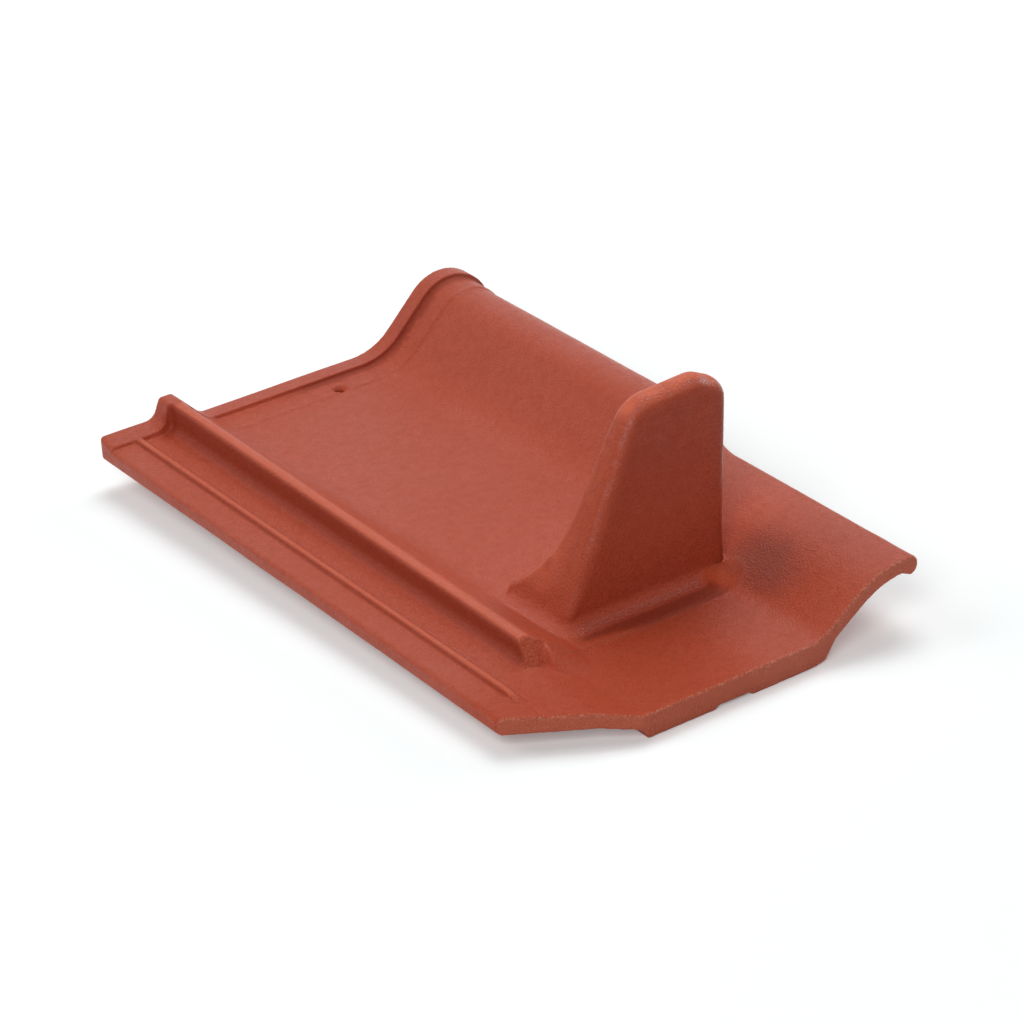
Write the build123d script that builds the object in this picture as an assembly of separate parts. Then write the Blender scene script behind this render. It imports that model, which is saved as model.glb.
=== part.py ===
from build123d import *
from collections import namedtuple
from math import asin, atan2, cos, hypot, pi, radians, sin, sqrt, tan
import os

# Snow stop tile: one pressed and fired clay roof tile with an upright snow lug.
# It lies as it is laid on a roof: X runs across it from the under-lock on the left to the roll on
# the right, Y runs up the slope from the foot to the head, and Z stands off the roof.

# Overall tile
tile_length = 440.0
tile_width = 265.0
wall = 8.4

# Under-lock along the left edge, heights from the pan floor
flange_width = 19.0
flange_rise = 4.0
flange_thickness = 9.7
flange_edge_radius = 2.5
channel_depth = 0.7
channel_fall = 19.0
small_rib_width = 5.0
small_rib_height = 6.6
small_rib_edge_radius = 1.8
small_rib_foot_gap = 46.0
main_rib_left = 42.5
main_rib_top_width = 6.5
main_rib_height_head = 20.8
main_rib_height_foot = 16.3
main_rib_slope_head = 50.0
main_rib_slope_foot = 31.0
main_rib_foot_gap = 68.0
main_rib_end_slope = 50.0
main_rib_edge_radius = 2.8
main_rib_root_radius = 28.0
main_rib_channel_radius = 6.0

# Roll along the right edge: a tall one up the slope that drops to a low one at the foot
roll_run = 66.0
roll_rise_head = 38.4
roll_rise_foot = 28.2
roll_root_radius_head = 41.0
roll_root_radius_foot = 24.0
roll_crest_radius_head = 24.5
roll_crest_radius_foot = 58.0
roll_lip_angle_head = 80.0
roll_lip_angle_foot = 4.0
roll_crest_shift = 5.0
roll_drop_start = 150.0
roll_drop_length = 84.0
lip_nose = 4.5
lip_bead_depth = 2.6
lip_bead_width = 6.0

# Head rim and the shallow step inside it
rim_width = 12.0
rim_height = 3.6
rim_dam_height = 9.6
rim_dam_fall = 3.6
rim_dam_radius = 8.0
rim_flank_run = 7.0
rim_over_rib = 0.6
step_width = 18.0
step_height = 1.0

# Nail hole behind the rim
nail_hole_diameter = 5.5
nail_hole_from_head = 25.8
nail_hole_from_left = 148.5
nail_sink_diameter = 10.0
nail_sink_depth = 2.2

# Corner cut off the foot, under the neighbour's corner
corner_cut_width = 62.0
corner_cut_length = 40.0

# Rib under the foot and nibs under the head
foot_rib_depth = 6.1
foot_rib_length = 18.0
foot_notch_from_left = 120.0
foot_notch_width = 20.0
foot_notch_depth = 2.0
nib_width = 30.0
nib_thickness = 13.0
nib_depth = 14.0
nib_draft = 8.0
nib_from_head = 40.0
nib_spacing = 72.0
nib_centre_from_left = 112.0

# Snow lug
lug_front = 91.0
lug_left = 77.0
lug_right = 186.2
lug_left_lean = 24.5
lug_right_lean = 3.0
lug_height = 119.7
lug_left_drop = 2.4
lug_right_drop = 9.0
lug_crown_from_right = 12.0
lug_left_round = 22.0
lug_crown_round = 14.0
lug_right_round = 13.0
lug_thickness = 14.0
lug_back_draft = 6.5
lug_edge_radius = 5.0
lug_flare_drop = 60.0
lug_flare_reach = 55.0
lug_toe_height = 8.0
lug_toe_radius = 8.0

# Pad of smoothed clay round the foot of the lug
pad_front = 20.0
pad_side = 9.0
pad_back = 10.0
pad_height = 1.4
pad_corner_radius = 14.0
pad_slope = 50.0
joint_cove_height = 7.0
joint_cove_reach = 12.0
joint_cove_round = 9.0

Roll = namedtuple("Roll", "rise crest_x root_radius crest_radius lip_reach")

# A seat sunk this far into the wall joins each added piece to the tile
sink = wall / 2
# Sections that the drop of the roll is drawn through
drop_sections = 7
# Steps that the cove round the foot of the lug is drawn in
cove_steps = 4
# Corners of an outline are found this near to where they are drawn
near = 0.1

lip_reach_head = roll_crest_radius_head * sin(radians(roll_lip_angle_head))
lip_reach_foot = roll_crest_radius_foot * sin(radians(roll_lip_angle_foot))
crest_head_x = tile_width - lip_reach_head - lip_nose * cos(radians(roll_lip_angle_head))
head_roll = Roll(
    roll_rise_head, crest_head_x, roll_root_radius_head, roll_crest_radius_head, lip_reach_head
)
foot_roll = Roll(
    roll_rise_foot,
    crest_head_x - roll_crest_shift,
    roll_root_radius_foot,
    roll_crest_radius_foot,
    lip_reach_foot,
)
# The flat pan ends a little before the roll starts to rise
pan_end = foot_roll.crest_x - roll_run - wall


def across(outline, start, end):
    """Solid with one outline across the tile, in x and z, from start to end along it."""
    return extrude(section_plane(start) * outline, amount=start - end)


def section_plane(y):
    """Plane across the tile at y, with its own axes along x and z."""
    return Plane((0, y, 0), x_dir=(1, 0, 0), z_dir=(0, -1, 0))


def roll_mix(share):
    """Roll between the one at the foot and the one at the head."""
    return Roll(*(low + (high - low) * share for low, high in zip(foot_roll, head_roll)))


def flank_angle(roll):
    """Slope in radians of the straight flank that joins the roll's two arcs."""
    both = roll.root_radius + roll.crest_radius
    lift = both - roll.rise
    return asin(both / hypot(roll_run, lift)) - atan2(lift, roll_run)


def lip_angle(roll):
    """Angle in radians from the roll's crest to the end of its lip."""
    return asin(roll.lip_reach / roll.crest_radius)


def root_point(roll, offset, angle):
    """Point on the hollow arc at the roll's root, lifted off the top face by offset."""
    radius = roll.root_radius - offset
    x = roll.crest_x - roll_run + radius * sin(angle)
    return (x, roll.root_radius - radius * cos(angle))


def crest_point(roll, offset, angle):
    """Point on the round arc at the roll's crest, angle measured to the right of the top."""
    radius = roll.crest_radius + offset
    return (roll.crest_x + radius * sin(angle), roll.rise - roll.crest_radius + radius * cos(angle))


def roll_edges(roll, offset, end_angle):
    """Pan floor, root arc, flank and crest arc, all at one offset from the top face."""
    flank = flank_angle(roll)
    root = [root_point(roll, offset, share * flank) for share in (0, 0.5, 1)]
    turn = end_angle + flank
    crest = [crest_point(roll, offset, share * turn - flank) for share in (0, 0.5, 1)]
    return [
        Line((pan_end, offset), root[0]),
        ThreePointArc(*root),
        Line(root[2], crest[0]),
        ThreePointArc(*crest),
    ]


def roll_outline(roll):
    """Closed section of the roll, with its rounded lip and the bead under the lip."""
    lip = lip_angle(roll)
    bead_angle = lip - lip_bead_width / (roll.crest_radius - wall)
    nose_end = crest_point(roll, -wall - lip_bead_depth, lip)
    middle = crest_point(roll, -(wall + lip_bead_depth) / 2, lip)
    nose = (middle[0] + lip_nose * cos(lip), middle[1] - lip_nose * sin(lip))
    top = roll_edges(roll, 0, lip)
    bottom = roll_edges(roll, -wall, bead_angle)
    edges = top + [
        ThreePointArc(crest_point(roll, 0, lip), nose, nose_end),
        Line(nose_end, crest_point(roll, -wall, bead_angle)),
        *bottom,
        Line((pan_end, -wall), (pan_end, 0)),
    ]
    return make_face(edges)


def roll_skin(roll, height):
    """Closed section of a layer on the roll, from inside the wall to height above it."""
    lip = lip_angle(roll)
    low = crest_point(roll, -sink, lip)
    high = crest_point(roll, height, lip)
    edges = roll_edges(roll, height, lip) + roll_edges(roll, -sink, lip)
    edges += [Line(high, low), Line((pan_end, -sink), (pan_end, height))]
    return make_face(edges)


def pan_outline():
    """Section of the raised flange and water channel and of the pan that they slope down to."""
    channel = flange_rise - channel_depth
    pan_start = main_rib_left + channel_fall
    face = make_face(
        Polyline(
            (0, flange_rise - flange_thickness),
            (0, flange_rise),
            (flange_width, flange_rise),
            (flange_width + channel_depth, channel),
            (main_rib_left, channel),
            (pan_start, 0),
            (pan_end, 0),
            (pan_end, -wall),
            (pan_start, -wall),
            (main_rib_left, flange_rise - flange_thickness),
            close=True,
        )
    )
    corners = face.vertices().filter_by_position(Axis.X, -near, near)
    return fillet(corners, flange_edge_radius)


def main_rib_outline(height, slope):
    """Section of the main rib: upright on the channel, sloping into the pan on its right."""
    channel = flange_rise - channel_depth
    channel_start = main_rib_left - 2 * main_rib_channel_radius
    right = main_rib_left + main_rib_top_width
    root = right + height / tan(radians(slope))
    floor_end = root + main_rib_root_radius
    face = make_face(
        Polyline(
            (channel_start, -sink),
            (channel_start, channel),
            (main_rib_left, channel),
            (main_rib_left, height),
            (right, height),
            (root, 0),
            (floor_end, 0),
            (floor_end, -sink),
            close=True,
        )
    )
    rounds = (
        ((main_rib_left, channel), main_rib_channel_radius),
        ((main_rib_left, height), main_rib_edge_radius),
        ((right, height), main_rib_edge_radius),
        ((root, 0), main_rib_root_radius),
    )
    for corner, radius in rounds:
        face = fillet(face.vertices().sort_by_distance(corner)[0], radius)
    return face


def main_rib():
    """The main rib, which grows steeper and higher to the head and is broken off at its foot end."""
    foot = main_rib_outline(main_rib_height_foot, main_rib_slope_foot)
    head = main_rib_outline(main_rib_height_head, main_rib_slope_head)
    rib = loft([section_plane(main_rib_foot_gap) * foot, section_plane(tile_length) * head], ruled=True)
    run = main_rib_height_head / tan(radians(main_rib_end_slope))
    wedge = make_face(
        Polyline(
            (main_rib_foot_gap - near, 0),
            (main_rib_foot_gap, 0),
            (main_rib_foot_gap + run, main_rib_height_head),
            (main_rib_foot_gap - near, main_rib_height_head),
            close=True,
        )
    )
    return rib - extrude(Plane.YZ * wedge, amount=tile_width)


def small_rib_outline():
    """Section of the small rib that parts the flange from the channel."""
    face = make_face(
        Polyline(
            (flange_width - small_rib_width / 2, -sink),
            (flange_width - small_rib_width / 2, small_rib_height),
            (flange_width + small_rib_width / 2, small_rib_height),
            (flange_width + small_rib_width / 2, -sink),
            close=True,
        )
    )
    top = face.vertices().filter_by_position(Axis.Y, small_rib_height - near, small_rib_height + near)
    return fillet(top, small_rib_edge_radius)


def tile_body():
    """The bare tile: pan with its under-lock, and the roll with its drop."""
    drop_end = roll_drop_start + roll_drop_length
    body = across(pan_outline(), 0, tile_length)
    body += main_rib()
    body += across(small_rib_outline(), small_rib_foot_gap, tile_length)
    body += across(roll_outline(foot_roll), 0, roll_drop_start)
    sections = []
    for index in range(drop_sections):
        share = index / (drop_sections - 1)
        eased = (1 - cos(pi * share)) / 2
        outline = roll_outline(roll_mix(eased))
        sections.append(section_plane(roll_drop_start + share * roll_drop_length) * outline)
    body += loft(sections)
    body += across(roll_outline(head_roll), drop_end, tile_length)
    return body


def rim_over_lock(dam_height):
    """Section of the head rim on the left, which dams the channel and climbs on to the main rib."""
    rib_right = main_rib_left + main_rib_top_width
    rib_top = main_rib_height_head + rim_over_rib
    flank_top = (main_rib_left - rim_height / 2, rib_top)
    dam_end = (main_rib_left - rim_flank_run, dam_height)
    root = (rib_right + main_rib_height_head / tan(radians(main_rib_slope_head)), rim_height)
    face = make_face(
        Polyline(
            (0, -sink),
            (0, dam_height),
            dam_end,
            flank_top,
            (rib_right, rib_top),
            root,
            (pan_end, rim_height),
            (pan_end, -sink),
            close=True,
        )
    )
    rounds = (
        (dam_end, rim_dam_radius),
        (root, rim_dam_radius),
        (flank_top, main_rib_edge_radius),
        ((rib_right, rib_top), main_rib_edge_radius),
        ((0, dam_height), flange_edge_radius),
    )
    for corner, radius in rounds:
        face = fillet(face.vertices().sort_by_distance(corner)[0], radius)
    return face


def head_rim():
    """The rim along the head and the shallow step inside it."""
    rim_start = tile_length - rim_width
    step_start = rim_start - step_width
    step_left = main_rib_left + main_rib_top_width
    step_pan = make_face(
        Polyline(
            (step_left, -sink),
            (step_left, step_height),
            (pan_end, step_height),
            (pan_end, -sink),
            close=True,
        )
    )
    inner = section_plane(rim_start) * rim_over_lock(rim_dam_height - rim_dam_fall)
    outer = section_plane(tile_length) * rim_over_lock(rim_dam_height)
    rim = loft([inner, outer], ruled=True)
    rim += across(roll_skin(head_roll, rim_height), rim_start, tile_length)
    rim += across(step_pan, step_start, tile_length)
    rim += across(roll_skin(head_roll, step_height), step_start, tile_length)
    return rim


def foot_rib():
    """Rib under the foot, which fades out up the flank of the roll, with a notch in its edge."""
    depth = wall + foot_rib_depth
    flank = flank_angle(foot_roll)
    full = corner_cut_width + foot_rib_depth / 2
    low = [root_point(foot_roll, -depth, share * flank) for share in (0, 0.25, 0.5)]
    high = [root_point(foot_roll, -sink, share * flank) for share in (1, 0.5, 0)]
    edges = [
        Polyline((corner_cut_width, -sink), (corner_cut_width, -wall), (full, -depth), low[0]),
        ThreePointArc(*low),
        Polyline(low[2], root_point(foot_roll, -wall, flank), high[0]),
        ThreePointArc(*high),
        Line(high[2], (corner_cut_width, -sink)),
    ]
    half = foot_notch_width / 2
    notch = make_face(
        Polyline(
            (foot_notch_from_left - half - foot_notch_depth, -depth),
            (foot_notch_from_left - half, foot_notch_depth - depth),
            (foot_notch_from_left + half, foot_notch_depth - depth),
            (foot_notch_from_left + half + foot_notch_depth, -depth),
            close=True,
        )
    )
    return across(make_face(edges), 0, foot_rib_length) - across(notch, 0, foot_rib_length)


def nibs():
    """The two nibs under the head that hook over the batten, drafted for the mould."""
    y = tile_length - nib_from_head - nib_thickness / 2
    under = Plane((0, 0, -wall), x_dir=(1, 0, 0), z_dir=(0, 0, -1))
    pair = []
    for side in (-1, 1):
        x = nib_centre_from_left + side * nib_spacing / 2
        outline = under * (Pos(x, -y) * Rectangle(nib_width, nib_thickness))
        pair.append(extrude(outline, amount=nib_depth, taper=nib_draft))
        pair.append(extrude(outline, amount=-sink))
    return pair


def corner_cut():
    """Wedge that takes the corner off the foot on the under-lock side."""
    margin = wall
    across_margin = margin * corner_cut_width / corner_cut_length
    along_margin = margin * corner_cut_length / corner_cut_width
    outline = make_face(
        Polyline(
            (-margin, -margin),
            (corner_cut_width + across_margin, -margin),
            (-margin, corner_cut_length + along_margin),
            close=True,
        )
    )
    return extrude(outline, amount=wall + flange_rise + small_rib_height, both=True)


def lug_front_outline():
    """Outline of the lug from the foot: one leaning side, a crown off to the right."""
    left_tilt = tan(radians(lug_left_lean))
    right_tilt = tan(radians(lug_right_lean))
    left_height = lug_height - lug_left_drop
    right_height = lug_height - lug_right_drop
    top_left = (lug_left + left_tilt * left_height, left_height)
    top_right = (lug_right + right_tilt * right_height, right_height)
    crown = (lug_right - lug_crown_from_right, lug_height)
    face = make_face(
        Polyline(
            (lug_left - left_tilt * sink, -sink),
            top_left,
            crown,
            top_right,
            (lug_right - right_tilt * sink, -sink),
            close=True,
        )
    )
    rounds = ((top_left, lug_left_round), (crown, lug_crown_round), (top_right, lug_right_round))
    for corner, radius in rounds:
        face = fillet(face.vertices().sort_by_distance(corner)[0], radius)
    return face


def back_point(height):
    """Point on the drafted back of the lug at a height above its flare, as y and z."""
    return (lug_front + lug_thickness + (lug_height - height) * tan(radians(lug_back_draft)), height)


def flare_circle():
    """Centre and radius of the hollow curve that leaves the drafted back and ends at the toe."""
    start = back_point(lug_height - lug_flare_drop)
    out = lug_front + lug_flare_reach - start[0]
    down = lug_toe_height - start[1]
    lean_out = cos(radians(lug_back_draft))
    lean_up = sin(radians(lug_back_draft))
    radius = (out**2 + down**2) / (2 * (out * lean_out + down * lean_up))
    return (start[0] + radius * lean_out, start[1] + radius * lean_up), radius


def flare_point(height):
    """Point on the back of the lug at a height within its flare or toe, as y and z."""
    centre, radius = flare_circle()
    hollow = max(height, lug_toe_height)
    return (centre[0] - sqrt(radius**2 - (centre[1] - hollow) ** 2), height)


def lug_side_outline():
    """Outline of the lug from the side: upright in front, flared to a blunt toe up the slope."""
    above = lug_height + sink
    start = lug_height - lug_flare_drop
    top, toe = back_point(above), flare_point(lug_toe_height)
    curve = [flare_point(height) for height in (lug_toe_height, (start + lug_toe_height) / 2, start)]
    edges = [
        Polyline(top, (lug_front, above), (lug_front, -sink), (toe[0], -sink), toe),
        ThreePointArc(*curve),
        Line(curve[2], top),
    ]
    face = make_face(edges)
    return fillet(face.vertices().sort_by_distance(toe)[0], lug_toe_radius)


def snow_lug():
    """The upright lug, rounded on all its free edges."""
    front = across(lug_front_outline(), lug_front, lug_front + lug_flare_reach)
    side = extrude(Plane.YZ * lug_side_outline(), amount=tile_width)
    lug = front & side
    free = lug.edges().filter_by(lambda edge: edge.center().Z > 0)
    level = free.filter_by(Axis.X) + free.filter_by(Axis.Y)
    return fillet([edge for edge in free if edge not in level], lug_edge_radius)


def lug_pad():
    """Low pad of smoothed clay that the lug stands on."""
    low_y = lug_front - pad_front
    high_y = lug_front + lug_flare_reach + pad_back
    low_x = lug_left - pad_side
    high_x = foot_roll.crest_x - roll_run + pad_corner_radius
    middle = Pos((low_x + high_x) / 2, (low_y + high_y) / 2)
    outline = middle * RectangleRounded(high_x - low_x, high_y - low_y, pad_corner_radius)
    return extrude(outline, amount=pad_height, taper=pad_slope) + extrude(outline, amount=-sink)


def joint_cove():
    """Cove of slip smoothed round the foot of the lug, where it was pressed on to the pad."""
    left_tilt = tan(radians(lug_left_lean))
    sections = []
    for index in range(cove_steps + 1):
        angle = index * pi / 2 / cove_steps
        side_reach = joint_cove_height * (1 - sin(angle))
        height = pad_height + joint_cove_height * (1 - cos(angle))
        left = lug_left + left_tilt * height - side_reach
        right = lug_right + side_reach
        front = lug_front - joint_cove_reach * (1 - sin(angle))
        back = flare_point(height)[0] + side_reach / 2
        outline = RectangleRounded(right - left, back - front, joint_cove_round + side_reach)
        sections.append(Pos((left + right) / 2, (front + back) / 2, height) * outline)
    return loft(sections, ruled=True)


def under_wall():
    """The room below the middle of the wall, which nothing that stands on the tile reaches into."""
    lip = lip_angle(foot_roll)
    end = crest_point(foot_roll, -sink, lip)
    floor = -wall - lug_height
    edges = roll_edges(foot_roll, -sink, lip) + [
        Line(end, (end[0], floor)),
        Line((end[0], floor), (pan_end, floor)),
        Line((pan_end, floor), (pan_end, -sink)),
    ]
    return across(make_face(edges), 0, tile_length)


def snow_stop_tile():
    """The whole tile in one solid, centred over its lowest points."""
    tile = tile_body() + head_rim() + foot_rib() + nibs()
    tile += snow_lug() + lug_pad() + joint_cove() - under_wall()
    nail = Pos(nail_hole_from_left, tile_length - nail_hole_from_head)
    on_step = nail * Pos(0, 0, step_height)
    tile -= on_step * extrude(Circle(nail_hole_diameter / 2), amount=-wall - step_height)
    tile -= on_step * loft(
        [Circle(nail_sink_diameter / 2), Pos(0, 0, -nail_sink_depth) * Circle(nail_hole_diameter / 2)]
    )
    tile -= corner_cut()
    box = tile.bounding_box()
    centre = box.center()
    return Pos(-centre.X, -centre.Y, -box.min.Z) * tile


os.makedirs("parts", exist_ok=True)
tile = snow_stop_tile()
tile.label = "snow_stop_tile"
export_step(tile, "parts/snow_stop_tile.step")
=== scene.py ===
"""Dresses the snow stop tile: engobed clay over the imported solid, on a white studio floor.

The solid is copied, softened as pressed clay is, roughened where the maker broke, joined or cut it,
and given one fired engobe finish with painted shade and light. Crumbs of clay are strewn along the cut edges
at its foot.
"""

import logging
import math
from dataclasses import dataclass, field
from enum import Enum

import bmesh
import bpy
import numpy as np
from bpy.types import ID, Material, Mesh, Node, NodeSocket, NodeTree, Object
from mathutils import Matrix, Vector
from mathutils.kdtree import KDTree

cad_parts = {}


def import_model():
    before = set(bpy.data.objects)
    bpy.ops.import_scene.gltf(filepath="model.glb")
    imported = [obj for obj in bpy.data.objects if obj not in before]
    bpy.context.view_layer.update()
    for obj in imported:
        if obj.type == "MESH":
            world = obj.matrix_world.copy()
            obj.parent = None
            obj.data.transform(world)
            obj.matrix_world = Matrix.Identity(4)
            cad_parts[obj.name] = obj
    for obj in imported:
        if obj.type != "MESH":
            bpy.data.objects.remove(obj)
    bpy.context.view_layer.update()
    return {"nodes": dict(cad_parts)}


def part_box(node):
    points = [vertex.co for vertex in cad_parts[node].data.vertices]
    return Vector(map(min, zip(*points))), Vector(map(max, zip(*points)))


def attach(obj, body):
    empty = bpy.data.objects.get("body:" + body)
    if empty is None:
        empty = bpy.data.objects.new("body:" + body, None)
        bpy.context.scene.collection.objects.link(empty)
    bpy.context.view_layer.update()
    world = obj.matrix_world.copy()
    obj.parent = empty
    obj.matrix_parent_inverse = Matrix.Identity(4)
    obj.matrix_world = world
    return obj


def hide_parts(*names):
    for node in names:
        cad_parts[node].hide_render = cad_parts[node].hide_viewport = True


LOG = logging.getLogger("snow_stop_tile")
MILLIMETRE = 0.001
TILE_NODE = "snow_stop_tile"
SENSOR_WIDTH = 36.0
FLOOR_REACH = 9.0
LATTICE_PRIMES = (73856093, 19349663, 83492791)
SEED_PRIME, MIX_PRIME, WORD = 2654435761, 73244475, 0xFFFFFFFF
Array = np.ndarray
Colour = tuple[float, float, float]
Triple = tuple[float, float, float]
Span = tuple[float, float]


class ClayMask(Enum):
    """Names of the values that the clay mesh carries for its material."""

    # Lighter on worn edges, with painted light on the up-facing lug and the rib crests.
    EDGE = "edge_wear_and_painted_light"
    CUT = "cut_face"
    SLIP = "slip_joint"
    CRUMB = "crumbled"
    # Painted shade in creases, on the lock's rib flanks, in the rim groove and about the lug's foot and
    # front.
    PAINTED_SHADE = "hollow"
    # Painted shade on the roll beside the lug, which also coarsens the grain there.
    PAINTED_SHADE_PATCH = "painted_shade_patch"
    RUBBED = "rubbed"


@dataclass(frozen=True)
class TileSizes:
    """Sizes of the tile in millimetres, from its left edge, its foot and its pan floor."""

    length: float = 440.0
    rim_inside: float = 428.0
    half_width: float = 133.882
    nib_bottom: float = -22.4
    foot_rib_bottom: float = -14.5
    nib_line: float = 393.5
    rib_left: float = 42.5
    rib_right: float = 62.0
    rib_height: float = 16.3
    rib_end: float = 68.0
    rib_end_run: float = 14.0
    channel_level: float = 3.3
    small_rib_left: float = 16.5
    small_rib_right: float = 21.5
    small_rib_end: float = 46.0
    cut_width: float = 62.0
    cut_length: float = 40.0
    lug_front: float = 91.0
    lug_toe: float = 146.0
    lug_left: float = 77.0
    lug_right: float = 186.2
    lug_left_lean: float = 24.5

    def from_part(self, points: Array) -> Array:
        """Turns points of the part, in metres, into tile millimetres."""
        return points / MILLIMETRE + self.shift

    def to_part(self, points: Array) -> Array:
        """Turns tile millimetres back into metres of the part."""
        return (points - self.shift) * MILLIMETRE

    @property
    def shift(self) -> Array:
        """Way from the part's origin to the tile's left edge, foot and pan floor, in millimetres."""
        return np.array([self.half_width, self.length / 2, self.nib_bottom])


def smooth_step(low: float, high: float, value: Array) -> Array:
    """Eases from 0 at low to 1 at high.

    Args:
        low: Where the step starts.
        high: Where the step ends.
        value: Values to ease.

    Returns:
        The eased values.
    """
    share = np.clip((value - low) / (high - low), 0.0, 1.0)
    return share * share * (3.0 - 2.0 * share)


def inside(low: float, high: float, value: Array, soft: float) -> Array:
    """Soft band that is 1 between two limits and fades out over a margin outside them.

    Args:
        low: Lower limit.
        high: Upper limit.
        value: Values to test.
        soft: Width of the margin.

    Returns:
        The band's weight at each value.
    """
    return smooth_step(low - soft, low, value) * (1.0 - smooth_step(high, high + soft, value))


def lattice_noise(place: Array, seed: int) -> Array:
    """Smooth noise on a seeded lattice of unit cells, the same on every run.

    Args:
        place: Points, one a row.
        seed: Seed of the lattice.

    Returns:
        Values from -1 to 1.
    """
    corner = np.floor(place).astype(np.int64)
    part = place - corner
    part = part * part * (3.0 - 2.0 * part)
    total = np.zeros(len(place))
    for step in np.ndindex(2, 2, 2):
        weight = np.prod(np.where(np.array(step) == 1, part, 1.0 - part), axis=1)
        x, y, z = (corner + np.array(step)).T
        mixed = x * LATTICE_PRIMES[0] ^ y * LATTICE_PRIMES[1] ^ z * LATTICE_PRIMES[2]
        mixed = (mixed + seed * SEED_PRIME) & WORD
        for _ in range(2):
            mixed = ((mixed ^ (mixed >> 16)) * MIX_PRIME) & WORD
        total += weight * (((mixed ^ (mixed >> 16)) & 0xFFFF) / 32767.5 - 1.0)
    return total


@dataclass
class NodeBench:
    """Small helper that adds and links nodes of one tree.

    Attributes:
        tree: The tree.
    """

    tree: NodeTree

    def add(self, kind: str, values: dict | None = None, **settings: object) -> Node:
        """Adds a node.

        Args:
            kind: The node's type name.
            values: What its inputs get, as for feed.
            **settings: Properties of the node to set.

        Returns:
            The new node.
        """
        node = self.tree.nodes.new(kind)
        for name, value in settings.items():
            setattr(node, name, value)
        self.feed(node, values or {})
        return node

    def feed(self, node: Node, values: dict) -> None:
        """Links or sets inputs of a node.

        Args:
            node: The node.
            values: A socket, a number, a vector or a colour for each input's name or index.
        """
        for name, value in values.items():
            socket = node.inputs[name]
            if isinstance(value, NodeSocket):
                self.tree.links.new(value, socket)
            elif socket.type == "RGBA":
                socket.default_value = (*value, 1.0)
            else:
                socket.default_value = value

    def noise(self, place: NodeSocket, scale: float, detail: float) -> NodeSocket:
        """Adds a noise texture of so many cells in a metre and octaves, and gives its value."""
        values = {"Vector": place, "Scale": scale, "Detail": detail}
        return self.add("ShaderNodeTexNoise", values).outputs["Fac"]

    def math(self, operation: str, first: object, second: object = 0.0) -> NodeSocket:
        """Adds a math node on two sockets or numbers, and gives its result."""
        return self.add("ShaderNodeMath", {0: first, 1: second}, operation=operation).outputs[0]

    def remap(self, value: NodeSocket, span: Span, to: Span) -> NodeSocket:
        """Maps a range of a value to another, clamped."""
        ends = dict(zip(("From Min", "From Max", "To Min", "To Max"), (*span, *to)))
        return self.add("ShaderNodeMapRange", {"Value": value, **ends}).outputs["Result"]

    def mix(self, share: NodeSocket, first: object, second: object) -> NodeSocket:
        """Mixes two colours, given as sockets or values, by the share of the second."""
        values = {0: share, 6: first, 7: second}
        return self.add("ShaderNodeMix", values, data_type="RGBA").outputs[2]

    def mask(self, name: ClayMask) -> NodeSocket:
        """Reads one of the mesh's own masks."""
        return self.add("ShaderNodeAttribute", attribute_name=name.value).outputs["Fac"]


class ClayGrain:
    """Node group that gives the grain of pressed clay: grit, peel, mottling and bloom."""

    NAME = "clay_grain"
    WAVES = {"Grit": (1700.0, 2.0), "Peel": (880.0, 1.0), "Mottle": (190.0, 3.0), "Bloom": (12.0, 3.0)}

    def build(self) -> NodeTree:
        """Builds the group once.

        Returns:
            The group, with one output for each kind of grain.
        """
        tree = bpy.data.node_groups.new(self.NAME, "ShaderNodeTree")
        tree.interface.new_socket("Place", in_out="INPUT", socket_type="NodeSocketVector")
        for name in self.WAVES:
            tree.interface.new_socket(name, in_out="OUTPUT", socket_type="NodeSocketFloat")
        bench = NodeBench(tree)
        start = bench.add("NodeGroupInput").outputs["Place"]
        end = bench.add("NodeGroupOutput")
        for name, (scale, detail) in self.WAVES.items():
            bench.feed(end, {name: bench.noise(start, scale, detail)})
        return tree


class ClayBench(NodeBench):
    """Bench of a clay material, with its shader and the grain's outputs."""

    def __init__(self, name: str, grain: NodeTree) -> None:
        """Starts the material.

        Args:
            name: Its name.
            grain: The clay grain group.
        """
        self.material = bpy.data.materials.new(name)
        self.material.use_nodes = True
        super().__init__(self.material.node_tree)
        self.shader = self.tree.nodes["Principled BSDF"]
        place = self.add("ShaderNodeTexCoord").outputs["Object"]
        self.grain = self.add("ShaderNodeGroup", {"Place": place}, node_tree=grain).outputs


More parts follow.
